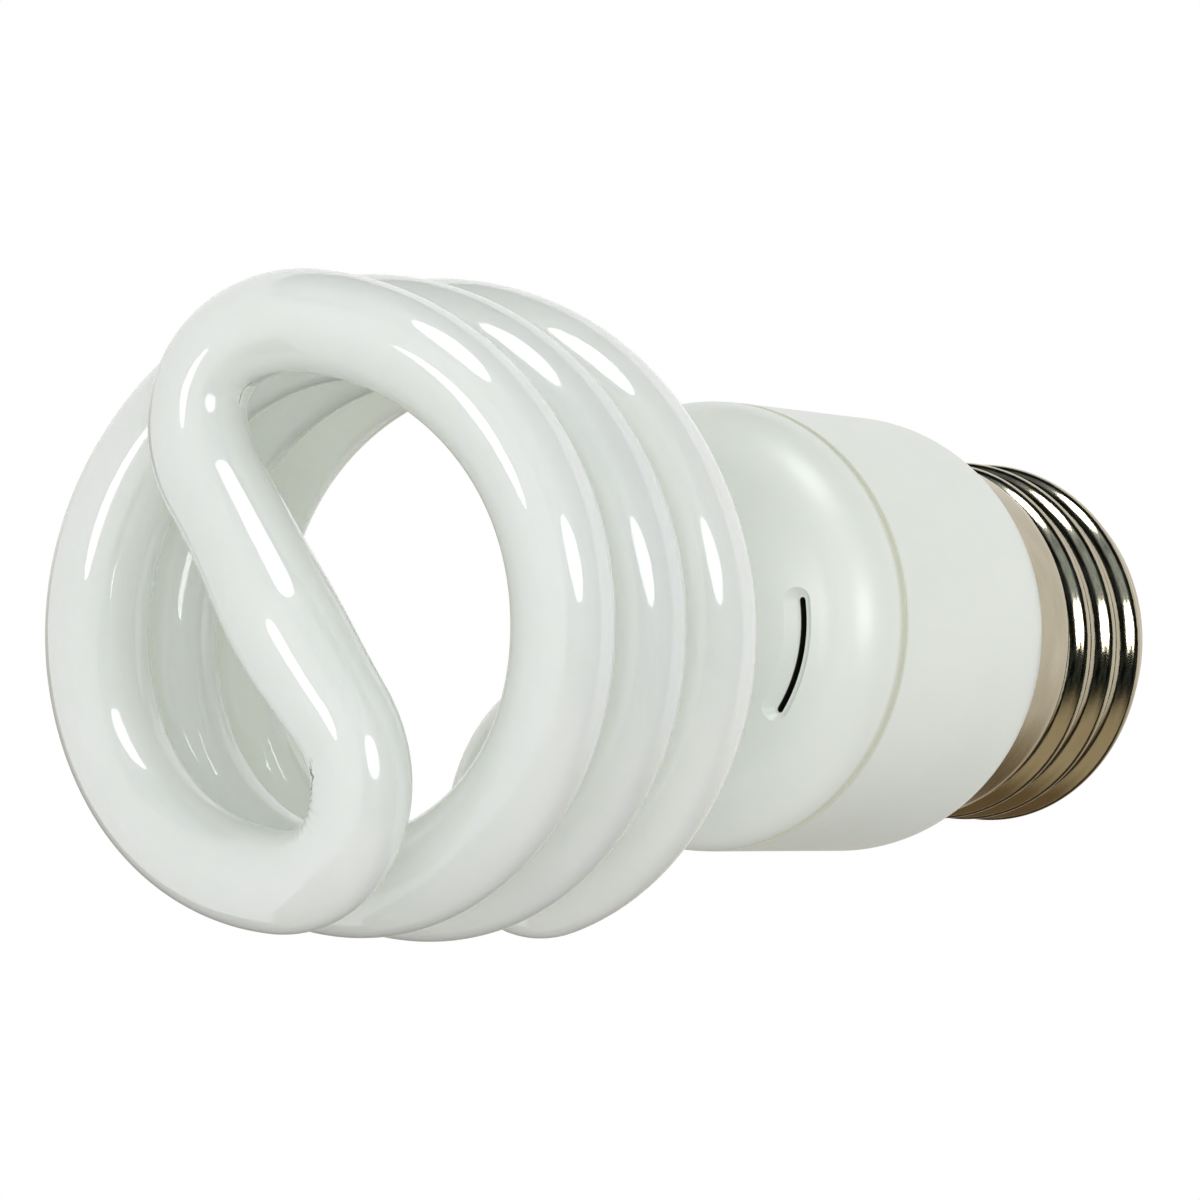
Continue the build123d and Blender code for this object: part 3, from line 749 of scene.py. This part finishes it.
def make_floor():
    size = FLOOR_HALF
    data = bpy.data.meshes.new("floor")
    corners = [(-size, -size, FLOOR_Z), (size, -size, FLOOR_Z), (size, size, FLOOR_Z), (-size, size, FLOOR_Z)]
    data.from_pydata(corners, [], [(0, 1, 2, 3)])
    floor = bpy.data.objects.new("floor", data)
    bpy.context.scene.collection.objects.link(floor)
    m = Nodes("floor_paper")
    m.set(Roughness=0.9)
    m.colour(m.ramp(m.noise(0.02, 3, 0.5), *PAPER))
    result = white_for_view(m.tree, m.shader.outputs[0], "ShaderNodeEmission", 1.0)
    m.link(result, m.tree.nodes["Material Output"].inputs["Surface"])
    data.materials.append(m.material)


def only_in_gloss(card):
    """Keeps a card outside the view to reflections in the metal and the glass."""
    for ray in ("camera", "diffuse", "shadow", "transmission", "volume_scatter"):
        setattr(card, "visible_" + ray, False)


def glow_card(name, points, faces, m, colour):
    """A card that shines by itself and shows in gloss only."""
    glow = m.add("ShaderNodeEmission")
    m.link(colour, glow.inputs["Color"])
    m.link(glow.outputs[0], m.tree.nodes["Material Output"].inputs["Surface"])
    data = bpy.data.meshes.new(name)
    data.from_pydata(points, [], faces)
    data.materials.append(m.material)
    card = bpy.data.objects.new(name, data)
    bpy.context.scene.collection.objects.link(card)
    only_in_gloss(card)


def make_dark_surround():
    low = FLOOR_Z + ROOM_RISE
    turns = [math.radians(a) for a in ROOM_TURNS]
    points = []
    for a in turns:
        points += [(ROOM_INNER * math.cos(a), ROOM_INNER * math.sin(a), low)]
        points += [(ROOM_RADIUS * math.cos(a), ROOM_RADIUS * math.sin(a), z) for z in (low, ROOM_TOP)]
    faces = []
    for k in range(len(turns) - 1):
        i = 3 * k
        faces += [(i, i + 3, i + 4, i + 1), (i + 1, i + 4, i + 5, i + 2)]
    m = Nodes("dark_room")
    split = m.add("ShaderNodeSeparateXYZ")
    m.link(m.place, split.inputs["Vector"])
    x, y, z = (split.outputs[axis] for axis in "XYZ")
    cloud = m.noise(0.0035, 2, 0.5, stretch=(1, 1, 0.5))
    room = m.ramp(cloud, (0.42, srgb(8, 9, 8)), (0.75, srgb(70, 80, 80)))
    cloud = m.noise(0.005, 3, 0.6, stretch=(1, 1, 2.5), seed=3.0)
    pale = m.ramp(cloud, (0.36, srgb(88, 100, 108)), (0.6, srgb(214, 228, 236)))
    wall = m.math("MULTIPLY", m.smooth(z, *PALE_HEIGHTS), m.smooth(y, *PALE_SIDE))
    room = m.mix(wall, room, pale)
    room = m.mix(m.smooth(y, *TABLE_SIDE, FALLING), room, srgb(198, 186, 160))
    shade = m.math("MULTIPLY", m.smooth(x, *SHADE_WIDTH, FALLING), m.smooth(y, *SHADE_SIDE, FALLING))
    room = m.mix(shade, room, srgb(126, 108, 82))
    glow_card("dark_surround", points, faces, m, room)


def make_brown_table():
    z = FLOOR_Z + TABLE_RISE
    left, right, near, far = -TABLE_HALF, TABLE_HALF, -TABLE_HALF, TABLE_EDGE
    corners = [(left, near), (right, near), (right, far), (left, far)]
    m = Nodes("brown_table")
    split = m.add("ShaderNodeSeparateXYZ")
    m.link(m.place, split.inputs["Vector"])
    ways = [m.math("MULTIPLY", split.outputs[axis], share) for axis, share in zip("XY", TABLE_ACROSS)]
    # The table's brown darkening across into painted shade
    colour = m.ramp(m.math("ADD", m.math("ADD", *ways), TABLE_SHIFT), *TABLE_SHADES)
    glow_card("brown_table", [(x, y, z) for x, y in corners], [(0, 1, 2, 3)], m, colour)


def make_stage():
    make_world()
    make_floor()
    make_lights()
    make_dark_surround()
    make_brown_table()


make_camera()
materials = make_materials()
for part in frame["record"]["subparts"]:
    node = frame["nodes"][part["node"]]
    node.data.materials.clear()
    node.data.materials.append(materials[part["material_slot"]])
make_tube(materials["phosphor_glass"])
make_shell(materials["nickel_plate"])
make_stage()

scene = bpy.context.scene
scene.view_settings.view_transform = "Standard"
